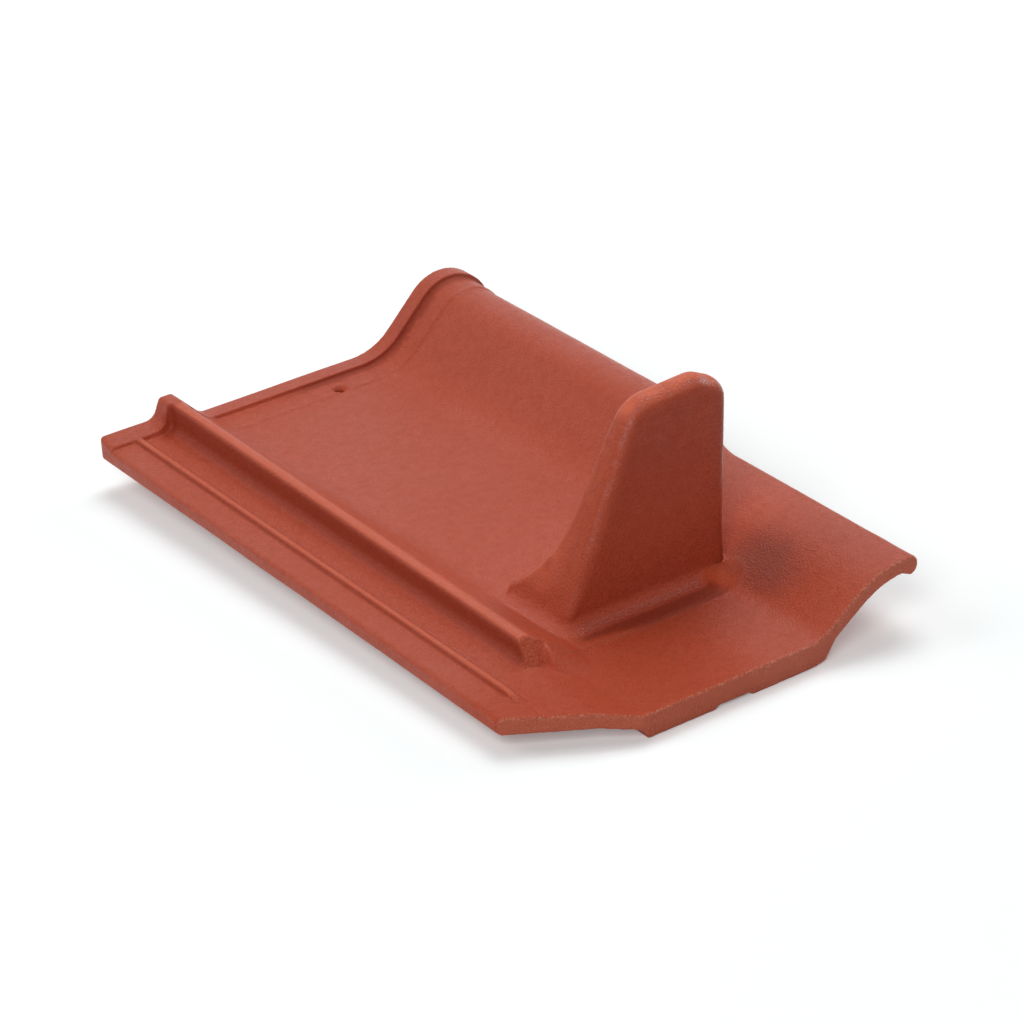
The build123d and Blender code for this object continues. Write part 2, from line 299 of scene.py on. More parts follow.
@dataclass(frozen=True)
class EngobedClay:
    """Fired clay under a thin red slip, satin and finely grained.

    Attributes:
        slip_colour: The engobe itself.
        bloom_colour: Paler haze that lies over it in broad patches.
        fleck_colour: Darker flecks in it.
        wear_and_light_colour: Lighter slip on worn edges and the lobe, and painted light on the lug's top and
            flare and on the ribs' crests.
        body_colour: The bare clay of a cut face.
        scorch_colour: Darker flecks of a cut face.
        crumb_colour: Pale broken clay.
        painted_shade_colour: Painted shade in creases, on the lock's rib flanks, in the rim groove and on and
            under the lug.
        smear_colour: Slip smeared over the joint.
        painted_shade_patch_colour: Painted shade on the roll beside the lug.
        refraction: Index of refraction of the slip.
        grit_height: Height of its finest grain, in metres.
        peel_height: Height of its coarser grain, in metres.
        coat_share: How much smooth coat the smeared slip has.
        coat_roughness: Roughness of that coat.
        plain_gloss: Specular level of the slip.
        rubbed_gloss: Specular level where it is rubbed matt.
    """

    name: str = "engobed_clay"
    slip_colour: Colour = (0.446, 0.0675, 0.0280)
    bloom_colour: Colour = (0.456, 0.0770, 0.0370)
    fleck_colour: Colour = (0.366, 0.0530, 0.0215)
    wear_and_light_colour: Colour = (0.640, 0.1260, 0.0570)
    body_colour: Colour = (0.550, 0.1300, 0.0740)
    scorch_colour: Colour = (0.420, 0.1000, 0.0580)
    crumb_colour: Colour = (0.620, 0.2300, 0.1450)
    painted_shade_colour: Colour = (0.230, 0.0300, 0.0120)
    smear_colour: Colour = (0.390, 0.0560, 0.0230)
    painted_shade_patch_colour: Colour = (0.260, 0.0480, 0.0260)
    refraction: float = 1.285
    grit_height: float = 0.00026
    peel_height: float = 0.00042
    coat_share: float = 0.6
    coat_roughness: float = 0.27
    plain_gloss: float = 0.5
    rubbed_gloss: float = 0.12

    def build(self, grain: NodeTree) -> Material:
        """Builds the material.

        Args:
            grain: The clay grain group.

        Returns:
            The material.
        """
        bench = ClayBench(self.name, grain)
        smear, rubbed = bench.mask(ClayMask.SLIP), bench.mask(ClayMask.RUBBED)
        normal = self.normal(bench)
        bench.feed(bench.shader, {
            "IOR": self.refraction,
            "Base Color": self.colour(bench),
            "Roughness": self.roughness(bench),
            "Normal": normal,
            "Coat Normal": normal,
            "Coat Weight": bench.math("MULTIPLY", smear, self.coat_share),
            "Coat Roughness": self.coat_roughness,
            "Specular IOR Level": bench.remap(rubbed, (0.0, 1.0), (self.plain_gloss, self.rubbed_gloss)),
        })
        return bench.material

    def colour(self, bench: ClayBench) -> NodeSocket:
        """Colour of the slip, its bloom, worn edges and cut faces, with painted shade and painted light.

        Args:
            bench: Bench of the material.

        Returns:
            The colour.
        """
        slip = self.slip_colour
        for grain, span, share, colour in (
            ("Bloom", (0.38, 0.66), 1.0, self.bloom_colour),
            ("Mottle", (0.42, 0.70), 0.5, self.fleck_colour),
            ("Peel", (0.52, 0.30), 0.9, self.fleck_colour),
        ):
            slip = bench.mix(bench.remap(bench.grain[grain], span, (0.0, share)), slip, colour)
        # Worn edges with painted light, then painted shade, painted shade beside the lug and smeared slip.
        for mask, colour in (
            (ClayMask.EDGE, self.wear_and_light_colour),
            (ClayMask.PAINTED_SHADE, self.painted_shade_colour),
            (ClayMask.PAINTED_SHADE_PATCH, self.painted_shade_patch_colour),
            (ClayMask.SLIP, self.smear_colour),
        ):
            slip = bench.mix(bench.mask(mask), slip, colour)
        scorch = bench.remap(bench.grain["Grit"], (0.40, 0.62), (0.0, 0.8))
        body = bench.mix(scorch, self.body_colour, self.scorch_colour)
        clay = bench.mix(bench.mask(ClayMask.CUT), slip, body)
        broken = bench.remap(bench.grain["Peel"], (0.50, 0.62), (0.0, 0.9))
        crumbs = bench.math("MULTIPLY", bench.mask(ClayMask.CRUMB), broken)
        return bench.mix(crumbs, clay, self.crumb_colour)

    def roughness(self, bench: ClayBench) -> NodeSocket:
        """Satin of the slip, smoother where it was smeared over the joint.

        Args:
            bench: Bench of the material.

        Returns:
            The roughness.
        """
        plain = bench.remap(bench.grain["Mottle"], (0.3, 0.7), (0.32, 0.42))
        smeared = bench.math("MULTIPLY", bench.mask(ClayMask.SLIP), 0.14)
        matt = bench.math("ADD", bench.mask(ClayMask.CUT), bench.mask(ClayMask.PAINTED_SHADE))
        bare = bench.math("MULTIPLY", matt, 0.25)
        return bench.math("ADD", bench.math("SUBTRACT", plain, smeared), bare)

    def normal(self, bench: ClayBench) -> NodeSocket:
        """Fine grain of the fired slip.

        Args:
            bench: Bench of the material.

        Returns:
            The bumped normal.
        """
        peel = bench.math("MULTIPLY", bench.grain["Peel"], self.peel_height)
        grit = bench.math("MULTIPLY", bench.grain["Grit"], self.grit_height)
        rough = bench.math("ADD", bench.mask(ClayMask.PAINTED_SHADE_PATCH), bench.mask(ClayMask.CUT))
        more = bench.math("ADD", rough, 1.0)
        height = bench.math("MULTIPLY", bench.math("ADD", peel, grit), more)
        return bench.add("ShaderNodeBump", {"Distance": 1.0, "Height": height}).outputs["Normal"]


@dataclass(frozen=True)
class BareCrumb:
    """Pale bare clay of the crumbs that cling to a cut edge.

    Attributes:
        colour: Clay of most crumbs.
        dusty_colour: Palest crumbs.
        roughness: Roughness of both.
    """

    name: str = "bare_crumb"
    colour: Colour = (0.56, 0.170, 0.098)
    dusty_colour: Colour = (0.72, 0.380, 0.270)
    roughness: float = 0.6

    def build(self, grain: NodeTree) -> Material:
        """Builds the material.

        Args:
            grain: The clay grain group.

        Returns:
            The material.
        """
        bench = ClayBench(self.name, grain)
        share = bench.remap(bench.grain["Mottle"], (0.40, 0.60), (0.0, 1.0))
        colour = bench.mix(share, self.colour, self.dusty_colour)
        bench.feed(bench.shader, {"Roughness": self.roughness, "Base Color": colour})
        return bench.material


class ClayMesh:
    """Points and normals of one mesh, held as arrays."""

    def __init__(self, mesh: Mesh) -> None:
        """Reads the mesh.

        Args:
            mesh: The mesh.
        """
        self.mesh = mesh
        flat = np.empty(len(mesh.vertices) * 3, np.float32)
        mesh.vertices.foreach_get("co", flat)
        self.points = flat.reshape(-1, 3).astype(float)
        mesh.vertex_normals.foreach_get("vector", flat)
        self.normals = flat.reshape(-1, 3).astype(float)
        pairs = np.empty(len(mesh.edges) * 2, np.int32)
        mesh.edges.foreach_get("vertices", pairs)
        self.pairs = pairs.reshape(-1, 2)

    def write(self) -> None:
        """Puts the points back into the mesh."""
        self.mesh.vertices.foreach_set("co", self.points.astype(np.float32).ravel())
        self.mesh.update()

    def store(self, name: ClayMask, values: Array) -> None:
        """Stores one mask's values on the mesh's points."""
        layer = self.mesh.attributes.new(name.value, "FLOAT", "POINT")
        layer.data.foreach_set("value", values.astype(np.float32))

    def spread(self, values: Array, rounds: int) -> Array:
        """Averages values over neighbouring points.

        Args:
            values: A value or a row of values for each point.
            rounds: How often they are averaged.

        Returns:
            The averaged values.
        """
        total = len(self.points)
        count = np.maximum(np.bincount(self.pairs.ravel(), minlength=total), 1)
        table = values.reshape(total, -1).astype(float)
        near, far = self.pairs.T
        for _ in range(rounds):
            sums = [
                np.bincount(near, column[far], total) + np.bincount(far, column[near], total)
                for column in table.T
            ]
            table = 0.5 * table + 0.5 * np.stack(sums, axis=1) / count[:, None]
        return table.reshape(values.shape)

    def bulge(self, rounds: int) -> Array:
        """Height of each point, in millimetres, over as wide surroundings as the rounds of averaging give."""
        mean = self.spread(self.points, rounds)
        return np.einsum("ij,ij->i", self.points - mean, self.normals) / MILLIMETRE


def add_object(name: str, data: ID) -> Object:
    """Adds an object to the scene.

    Args:
        name: Its name.
        data: Its mesh, lamp or camera.

    Returns:
        The object.
    """
    thing = bpy.data.objects.new(name, data)
    bpy.context.scene.collection.objects.link(thing)
    return thing


def triangle_count(mesh: Mesh) -> int:
    """Counts the triangles that a mesh's faces come to."""
    return sum(len(face.vertices) - 2 for face in mesh.polygons)


def bake(thing: Object) -> None:
    """Turns an object's modifiers into a plain mesh.

    Args:
        thing: The object.
    """
    view = bpy.context.evaluated_depsgraph_get()
    baked = bpy.data.meshes.new_from_object(thing.evaluated_get(view))
    old = thing.data
    thing.modifiers.clear()
    thing.data = baked
    bpy.data.meshes.remove(old)


@dataclass(frozen=True)
class TileSurface:
    """Points of the tile, the marks that pressing, joining, cutting and firing left at each of them, and
    where shade and light are painted on it.

    Marks that change the shape are heights to add, in millimetres, and the others are weights from 0 to 1.

    Attributes:
        sizes: Sizes of the tile.
        place: Points in tile millimetres.
        normals: Normals at the points.
        lobe_radius: Radius of the lobe of slip beside the lug's foot, in millimetres.
        lobe_inset: Way from the lug's front right corner in to the lobe's middle.
        lobe_height: Height of the lobe.
    """

    sizes: TileSizes
    place: Array
    normals: Array
    lobe_radius: float = 14.0
    lobe_inset: float = 8.5
    lobe_height: float = 5.2

    @property
    def x(self) -> Array:
        """Distances from the left edge."""
        return self.place[:, 0]

    @property
    def y(self) -> Array:
        """Distances from the foot."""
        return self.place[:, 1]

    @property
    def z(self) -> Array:
        """Heights over the pan floor."""
        return self.place[:, 2]

    @property
    def behind(self) -> Array:
        """Distances behind the lug's front plane."""
        return self.y - self.sizes.lug_front

    @property
    def rising(self) -> Array:
        """How far the surface faces up."""
        return self.normals[:, 2]

    def noise(self, seed: int, cell: float) -> Array:
        """Smooth noise from -1 to 1 over the surface, with cells of a size in millimetres."""
        return lattice_noise(self.place / cell, seed)

    def kiln_warp(self) -> Array:
        """Broad unevenness that drying and firing leave."""
        return 0.22 * self.noise(3, 46.0) + 0.07 * self.noise(4, 14.0)

    def joint_mound(self) -> Array:
        """Form of the lobe of smeared slip between the lug's right side and the roll.

        Returns:
            Share of the lobe's height at each point.
        """
        aside = self.x - self.sizes.lug_right + self.lobe_inset
        ahead = self.behind + self.lobe_inset
        low = 1.0 - smooth_step(14.0, 20.0, self.z)
        return low * np.clip(1.0 - (np.hypot(aside, ahead) / self.lobe_radius) ** 2, 0.0, 1.0) ** 2

    def joint_lobe(self) -> Array:
        """Lobe of smeared slip, raised only where the surface faces up.

        Returns:
            Height to add at each point, in millimetres.
        """
        mound = self.joint_mound()
        mound *= smooth_step(0.25, 0.7, self.rising) * (1.0 - smooth_step(18.0, 26.0, self.z))
        return self.lobe_height * mound * smooth_step(-1.0, 0.5, self.z)

    def rib_break(self) -> Array:
        """Where the main rib was broken off short of the foot.

        Returns:
            Its weight at each point.
        """
        size = self.sizes
        face = size.rib_end + size.rib_end_run * self.z / size.rib_height
        near = 1.0 - smooth_step(1.0, 4.0, np.abs(self.y - face))
        near *= inside(size.rib_left - 1.0, size.rib_right - 8.0, self.x, 4.0)
        return near * inside(size.channel_level - 0.5, size.rib_height, self.z, 1.0)

    def rib_ramp(self) -> Array:
        """Lets the sloping side of the main rib run out towards the foot beside its broken end.

        Returns:
            Height to add at each point, in millimetres.
        """
        size = self.sizes
        top, end = size.rib_left + 6.5, size.rib_end + size.rib_end_run
        side = np.clip(size.rib_height - 0.6 * (self.x - top), 0.0, size.rib_height)
        ramp = side * smooth_step(size.rib_end - 18.0, end, self.y)
        ramp *= smooth_step(top, top + 8.0, self.x)
        ramp *= 1.0 - smooth_step(size.rib_right + 8.0, size.rib_right + 16.0, self.x)
        near = inside(size.rib_end - 20.0, end, self.y, 1.0)
        return np.clip(ramp - self.z, 0.0, 12.0) * near * smooth_step(0.2, 0.5, self.rising)

    def faded_rib(self) -> Array:
        """Lets the small rib run out towards the foot instead of ending in a step.

        Returns:
            Height to add at each point, in millimetres.
        """
        size = self.sizes
        over = np.clip(self.z - size.channel_level - 0.5, 0.0, 3.5)
        on_rib = inside(size.small_rib_left - 1.0, size.small_rib_right + 1.0, self.x, 1.5)
        foot = 1.0 - smooth_step(size.small_rib_end, size.small_rib_end + 16.0, self.y)
        return -0.75 * over * on_rib * foot

    def small_rib_break(self) -> Array:
        """Where the small rib crumbles out towards the foot.

        Returns:
            Its weight at each point.
        """
        size = self.sizes
        weight = inside(size.small_rib_left - 0.5, size.small_rib_right + 0.5, self.x, 2.0)
        weight *= inside(size.small_rib_end - 2.0, size.small_rib_end + 9.0, self.y, 5.0)
        return weight * smooth_step(4.0, 4.8, self.z)

    def broken_ends(self) -> Array:
        """Rough faces where the ribs were broken off short of the foot."""
        rough = self.noise(11, 4.0) + 0.7 * self.noise(12, 1.8)
        return rough * (0.24 * self.rib_break() + 0.3 * self.small_rib_break())

    def cut_distance(self) -> Array:
        """Way inwards from the faces cut across the foot and off its corner.

        Returns:
            The distance of each point, in millimetres.
        """
        size = self.sizes
        reach = math.hypot(size.cut_width, size.cut_length)
        corner = self.x * size.cut_length + self.y * size.cut_width
        return np.minimum(self.y, (corner - size.cut_width * size.cut_length) / reach)

    def ragged_edges(self) -> Array:
        """Ragged upper edge of the cut faces at the foot.

        Returns:
            Height to add at each point, in millimetres.
        """
        near = 1.0 - smooth_step(0.8, 2.6, self.cut_distance())
        rough = self.noise(21, 1.8) + 0.6 * self.noise(22, 4.5)
        return 0.12 * near * rough * (0.5 + smooth_step(-0.4, 0.5, self.rising))

    def masks(self, bulge: Array) -> dict[ClayMask, Array]:
        """Masks that the finish reads.

        Args:
            bulge: How far each point stands out from its surroundings, in millimetres.

        Returns:
            The weights of each mask.
        """
        broken = self.noise(31, 5.0) * 0.5 + self.noise(32, 1.6) * 0.5
        mound = self.joint_mound()
        worn = 0.8 * smooth_step(0.10, 0.42, bulge + 0.06 * broken)
        # Painted shade in creases, where the surface lies below its surroundings.
        crease_shade = 0.8 * smooth_step(0.20, 0.55, -bulge)
        shades = (self.lock_flank_shade(), self.joint_shade(), self.rim_shade(), self.lug_shade())
        return {
            # Lighter on worn edges and the lobe, painted light on the lug and crests, painted shade in
            # creases and along ribs, rim and lug.
            ClayMask.EDGE: np.maximum.reduce([worn, self.painted_light_lug(), self.painted_light_crests(), 0.35 * mound]),
            ClayMask.PAINTED_SHADE: np.maximum.reduce([crease_shade, *shades]),
            ClayMask.RUBBED: np.maximum(self.rubbed_foot(), smooth_step(0.0, 0.3, mound)),
            ClayMask.CUT: self.cut_faces(broken),
            ClayMask.SLIP: np.maximum(self.slip_joint(), self.lug_gloss()),
            ClayMask.CRUMB: self.crumbled(),
            ClayMask.PAINTED_SHADE_PATCH: self.painted_shade_patch(),
        }

    def cut_faces(self, broken: Array) -> Array:
        """Bare clay of the faces cut at the foot and at the head.

        Args:
            broken: Noise that frays the edge of the bare clay.

        Returns:
            Its weight.
        """
        flat = smooth_step(0.45, 0.8, -self.normals[:, 1] - 0.35 * self.normals[:, 0])
        cut = flat * (1.0 - smooth_step(0.8, 1.8, self.cut_distance() + 0.3 * broken))
        head = smooth_step(-1.6, -0.6, self.y - self.sizes.length)
        head *= smooth_step(0.5, 0.8, self.normals[:, 1])
        return np.clip(cut + head, 0.0, 1.0)

    def lock_flank_shade(self) -> Array:
        """Painted shade on the flanks of the ribs in the lock, darkest where they face left.

        Returns:
            Its weight at each point.
        """
        size = self.sizes
        lock = inside(size.small_rib_left - 3.0, size.rib_left + 2.0, self.x, 0.5)
        lock *= inside(size.small_rib_end, size.rim_inside - 1.0, self.y, 4.0)
        lock *= smooth_step(size.channel_level - 1.0, size.channel_level, self.z)
        leftward = 0.45 * smooth_step(0.25, 0.7, -self.normals[:, 0])
        return lock * (leftward + 0.25 * smooth_step(0.3, 0.7, self.normals[:, 0]))

    def rubbed_foot(self) -> Array:
        """Where the slip on the foot of the pan is rubbed matt."""
        foot = 1.0 - smooth_step(-50.0, 6.0, self.behind)
        return 0.8 * foot * inside(-30.0, self.sizes.lug_left + 45.0, self.x, 30.0)

    def lug_face(self, depth: float) -> Array:
        """The lug's front and what lies close behind it.

        Args:
            depth: How far back it reaches, in millimetres.

        Returns:
            Its weight.
        """
        size = self.sizes
        front = inside(-1.0, depth, self.behind, 1.0)
        return front * inside(size.lug_left, size.lug_right + 10.0, self.x, 1.0)

    def lug_gloss(self) -> Array:
        """Slip that was rubbed smooth along the front edges of the lug.

        Returns:
            Its weight at each point.
        """
        facing = -self.normals[:, 1]
        edge = smooth_step(0.42, 0.58, facing) * (1.0 - smooth_step(0.72, 0.88, facing))
        patchy = np.clip(0.45 + 0.6 * self.noise(42, 3.0), 0.0, 0.9)
        return self.lug_face(9.0) * smooth_step(22.0, 60.0, self.z) * edge * patchy

    def lug_shade(self) -> Array:
        """Painted shade on the upper part of the lug's front, where it faces forward."""
        flat = smooth_step(0.75, 0.97, -self.normals[:, 1])
        return 0.36 * self.lug_face(4.0) * flat * smooth_step(35.0, 95.0, self.z)

    def painted_light_crests(self) -> Array:
        """Painted light along the up-facing crests of the ribs in the lock.

        Returns:
            Its weight at each point.
        """
        size = self.sizes
        small = inside(size.small_rib_left, size.small_rib_right, self.x, 0.5)
        small *= smooth_step(size.channel_level + 1.8, size.channel_level + 2.6, self.z)
        main = inside(size.rib_left, size.rib_left + 9.0, self.x, 1.0)
        main *= smooth_step(size.rib_height - 3.0, size.rib_height - 1.0, self.z)
        crest = np.maximum(0.5 * small, 0.55 * main) * smooth_step(0.55, 0.85, self.rising)
        return crest * (1.0 - smooth_step(size.rim_inside - 4.0, size.rim_inside, self.y))

    def painted_light_lug(self) -> Array:
        """Painted light over the round top and the flared back of the lug, strongest where they face up.

        Returns:
            Its weight at each point.
        """
        size = self.sizes
        lug = inside(size.lug_front - 1.0, size.lug_toe, self.y, 1.0)
        lug *= inside(size.lug_left - 2.0, size.lug_right + 8.0, self.x, 2.0)
        lug *= smooth_step(10.0, 20.0, self.z)
        top = smooth_step(0.42, 0.75, self.rising)
        flare = 0.8 * smooth_step(9.0, 31.0, self.behind)
        flare *= smooth_step(0.05, 0.3, self.rising)
        return lug * np.maximum(top, flare) * np.clip(0.68 + 0.5 * self.noise(41, 7.0), 0.3, 1.0)

    def crumbled(self) -> Array:
        """Where the clay is broken or its edge crumbles.

        Returns:
            Its weight at each point.
        """
        edge = 1.0 - smooth_step(0.3, 0.9, self.cut_distance())
        edge *= inside(0.2, 0.9, self.rising, 0.15) * smooth_step(-4.0, -1.0, self.z)
        return np.clip(0.2 * self.rib_break() + 0.2 * self.small_rib_break() + edge, 0.0, 1.0)

    def painted_shade_patch(self) -> Array:
        """Painted shade on the roll beside the lug, where the grain is also coarser.

        Returns:
            Its weight at each point.
        """
        aside = (self.x - self.sizes.lug_right - 7.0) / 23.0
        ahead = (self.behind + 24.0) / 36.0
        patch = 1.0 - smooth_step(0.2, 1.0, np.hypot(aside, ahead) + 0.15 * self.noise(41, 9.0))
        return 0.75 * patch * smooth_step(0.0, 4.0, self.z)

    def joint_shade(self) -> Array:
        """Painted shade on the pan along the joint under the lug's front.

        Returns:
            Its weight at each point.
        """
        size = self.sizes
        widening = smooth_step(size.lug_left + 8.0, size.lug_left + 45.0, self.x)
        band = inside(-12.0 - 6.5 * widening, -10.5, self.behind, 3.5)
        band *= inside(size.lug_left + 9.0, size.lug_right - 20.0, self.x, 8.0)
        return 0.85 * band * (1.0 - smooth_step(2.5, 5.0, self.z))

    def rim_shade(self) -> Array:
        """Painted shade in the groove inside the head rim.

        Returns:
            Its weight at each point.
        """
        rim = self.sizes.rim_inside
        groove = inside(rim - 3.6, rim - 0.2, self.y, 0.8)
        return 0.7 * groove * smooth_step(105.0, 140.0, self.x) * smooth_step(-3.0, -1.0, self.z)

    def slip_joint(self) -> Array:
        """Where slip was smeared round the foot of the lug.

        Returns:
            Its weight at each point.
        """
        size = self.sizes
        front = inside(size.lug_left + 12.0, size.lug_right - 26.0, self.x, 10.0)
        front *= inside(-8.0, -4.5, self.behind, 2.5)
        front *= 1.0 - smooth_step(6.0, 9.0, self.z)
        foot = size.lug_left + math.tan(math.radians(size.lug_left_lean)) * self.z
        side = inside(foot - 6.0, foot - 0.5, self.x, 1.0)
        side *= inside(size.lug_front + 4.0, size.lug_toe - 8.0, self.y, 4.0)
        side *= smooth_step(1.0, 2.0, self.z) * (1.0 - smooth_step(3.0, 6.0, self.z))
        return np.clip(0.9 * front + 0.25 * side, 0.0, 1.0)


@dataclass
class LugFront:
    """Shape of the lug's front: broad rounds along its edge and a shallow dish inside them.

    Attributes:
        surface: Points of the softened tile.
        edge_round: Radius that the solid has there, in millimetres.
        left_round: Radius along the leaning left edge.
        top_round: Radius along the top.
        right_round: Radius along the right edge.
        crease_depth: Depth of the crease under the top round.
        dish_depth: Depth of the dish.
    """

    surface: TileSurface
    edge_round: float = 5.0
    left_round: float = 8.0
    top_round: float = 10.0
    right_round: float = 6.5
    crease_depth: float = 0.45
    dish_depth: float = 0.6

    def outline(self) -> tuple[Array, Array]:
        """Outline of the lug just behind its front edge.

        Returns:
            Points of the outline, and the directions that it faces, across and up.
        """
        at = self.surface
        near = np.abs(at.behind - self.edge_round - 2.0) < 0.7
        near &= (at.z > 9.5) & (np.abs(at.x - 130.0) < 66.0)
        near &= (at.rising < 0.6) | (at.z > 60.0)
        out = at.normals[near][:, [0, 2]]
        return at.place[near][:, [0, 2]], out / np.linalg.norm(out, axis=1, keepdims=True)

    def shift(self) -> Array:
        """Moves the solid's front on to the rounds and into the dish.

        Returns:
            Shift at each point, in millimetres.
        """
        at, size = self.surface, self.surface.sizes
        edge, out = self.outline()
        tree = KDTree(len(edge))
        for index, (across, up) in enumerate(edge):
            tree.insert((across, 0.0, up), index)
        tree.balance()
        zone = (at.behind < self.left_round) & (at.behind > -1.0)
        zone &= (at.z > 9.0) & (at.x > size.lug_left - 2.0)
        zone &= at.x < size.lug_right + 1.5 + 0.05 * at.z
        picked = np.flatnonzero(zone)
        place, behind = at.place[picked], at.behind[picked]
        nearest = np.array([tree.find((x, 0.0, z))[1] for x, _, z in place])
        facing = out[nearest]
        inward = np.einsum("ij,ij->i", edge[nearest] - place[:, [0, 2]], facing)
        reach = self.reach(facing, place[:, 2])
        corner = np.stack([reach - behind, reach - inward], axis=1)
        far = np.hypot(*corner.T)
        over = (corner.min(axis=1) > 0.0) & (far > reach)
        pull = np.where(over, 1.0 - reach / np.maximum(far, 1e-6), 0.0)[:, None] * corner
        shift = np.zeros_like(at.place)
        shift[picked, 1] = pull[:, 0] + self.dish(facing, behind, inward - reach, place[:, 2])
        shift[np.ix_(picked, [0, 2])] = -pull[:, 1:] * facing
        return shift

    def reach(self, facing: Array, up: Array) -> Array:
        """Radius of the round beside each piece of the outline.

        Args:
            facing: Directions that the outline faces, across and up.
            up: Heights of the points.

        Returns:
            The radius at each point, in millimetres.
        """
        left, right = np.clip(-facing[:, 0], 0.0, 1.0) ** 2, np.clip(facing[:, 0], 0.0, 1.0) ** 2
        top = np.clip(facing[:, 1], 0.0, 1.0) ** 2 * (left < 0.8)
        total = np.maximum(left + right + top, 1e-6)
        wide = (left * self.left_round + right * self.right_round + top * self.top_round) / total
        return self.edge_round + (wide - self.edge_round) * smooth_step(8.0, 26.0, up)

    def dish(self, facing: Array, behind: Array, beyond: Array, up: Array) -> Array:
        """Depth of the dish and of the crease under the top round.

        Args:
            facing: Directions that the nearest outline faces, across and up.
            behind: Distances behind the front plane.
            beyond: Distances inside the inner edge of the round.
            up: Heights of the points.

        Returns:
            Depth at each point, in millimetres.
        """
        crease = self.crease_depth * smooth_step(0.5, 0.9, facing[:, 1]) * smooth_step(-1.0, 2.5, beyond)
        hollow = self.dish_depth * smooth_step(0.0, 24.0, beyond) * smooth_step(12.0, 45.0, up)
        return (crease + hollow) * (1.0 - smooth_step(2.0, 4.0, behind))


@dataclass
class PressedTile:
    """The tile itself, one piece of pressed, joined and fired clay.

    Attributes:
        sizes: Sizes of the tile.
        voxel: Mesh width that the solid is softened at, in metres.
        soften_rounds: How often its edges are eased.
        triangle_limit: Most triangles that the finished mesh has.
    """

    sizes: TileSizes
    voxel: float = 0.00085
    soften_rounds: int = 3
    triangle_limit: int = 188_000

    def build(self, node: Object, clay: Material) -> Object:
        """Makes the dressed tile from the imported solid.

        Args:
            node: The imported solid.
            clay: Its finish.

        Returns:
            The dressed tile.
        """
        box = [np.array(corner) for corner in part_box(TILE_NODE)]
        tile = self.softened_copy(node)
        self.work_surface(tile.data, box)
        self.thin_out(tile, box)
        self.store_masks(tile.data)
        tile.data.materials.clear()
        tile.data.materials.append(clay)
        tile.data.polygons.foreach_set("use_smooth", [True] * len(tile.data.polygons))
        return tile

    def softened_copy(self, node: Object) -> Object:
        """Copies the solid, closes its mesh and eases its edges as pressed clay has them.

        Args:
            node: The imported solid.

        Returns:
            The softened copy.
        """
        mesh = node.data.copy()
        mesh.name = "pressed_tile"
        work = bmesh.new()
        work.from_mesh(mesh)
        bmesh.ops.remove_doubles(work, verts=work.verts, dist=1e-6)
        work.to_mesh(mesh)
        work.free()
        tile = add_object("pressed_tile", mesh)
        remesh = tile.modifiers.new("even_mesh", "REMESH")
        remesh.mode = "VOXEL"
        remesh.voxel_size = self.voxel
        soften = tile.modifiers.new("eased_edges", "SMOOTH")
        soften.factor = 0.5
        soften.iterations = self.soften_rounds
        bake(tile)
        return tile

    def work_surface(self, mesh: Mesh, box: list[Array]) -> None:
        """Gives the surface what pressing, joining, breaking and firing leave on it.

        Args:
            mesh: The softened mesh.
            box: Corners of the solid's box, which the surface stays inside.
        """
        clay = ClayMesh(mesh)
        place = self.sizes.from_part(clay.points)
        place += LugFront(TileSurface(self.sizes, place, clay.normals)).shift()
        surface = TileSurface(self.sizes, place, clay.normals)
        lift = surface.kiln_warp() + surface.broken_ends() + surface.ragged_edges()
        shift = lift[:, None] * clay.normals
        shift[:, 2] += surface.joint_lobe()
        shift[:, 2] += surface.faded_rib() + surface.rib_ramp()
        clay.points = np.clip(self.sizes.to_part(place) + shift * MILLIMETRE, *box)
        clay.write()

    def thin_out(self, tile: Object, box: list[Array]) -> None:
        """Thins the mesh where it is flat, down to the triangle limit.

        Args:
            tile: The worked tile.
            box: Corners of the solid's box, which the surface stays inside.
        """
        triangles = triangle_count(tile.data)
        thin = tile.modifiers.new("thinned", "DECIMATE")
        thin.ratio = min(1.0, self.triangle_limit / triangles)
        bake(tile)
        clay = ClayMesh(tile.data)
        clay.points = np.clip(clay.points, *box)
        clay.write()
        LOG.info("%s thinned from %d to %d triangles", tile.name, triangles, triangle_count(tile.data))

    def store_masks(self, mesh: Mesh) -> None:
        """Stores the masks that the finish reads.

        Args:
            mesh: The finished mesh.
        """
        clay = ClayMesh(mesh)
        surface = TileSurface(self.sizes, self.sizes.from_part(clay.points), clay.normals)
        for name, weights in surface.masks(clay.spread(clay.bulge(4), 1)).items():
            clay.store(name, weights)


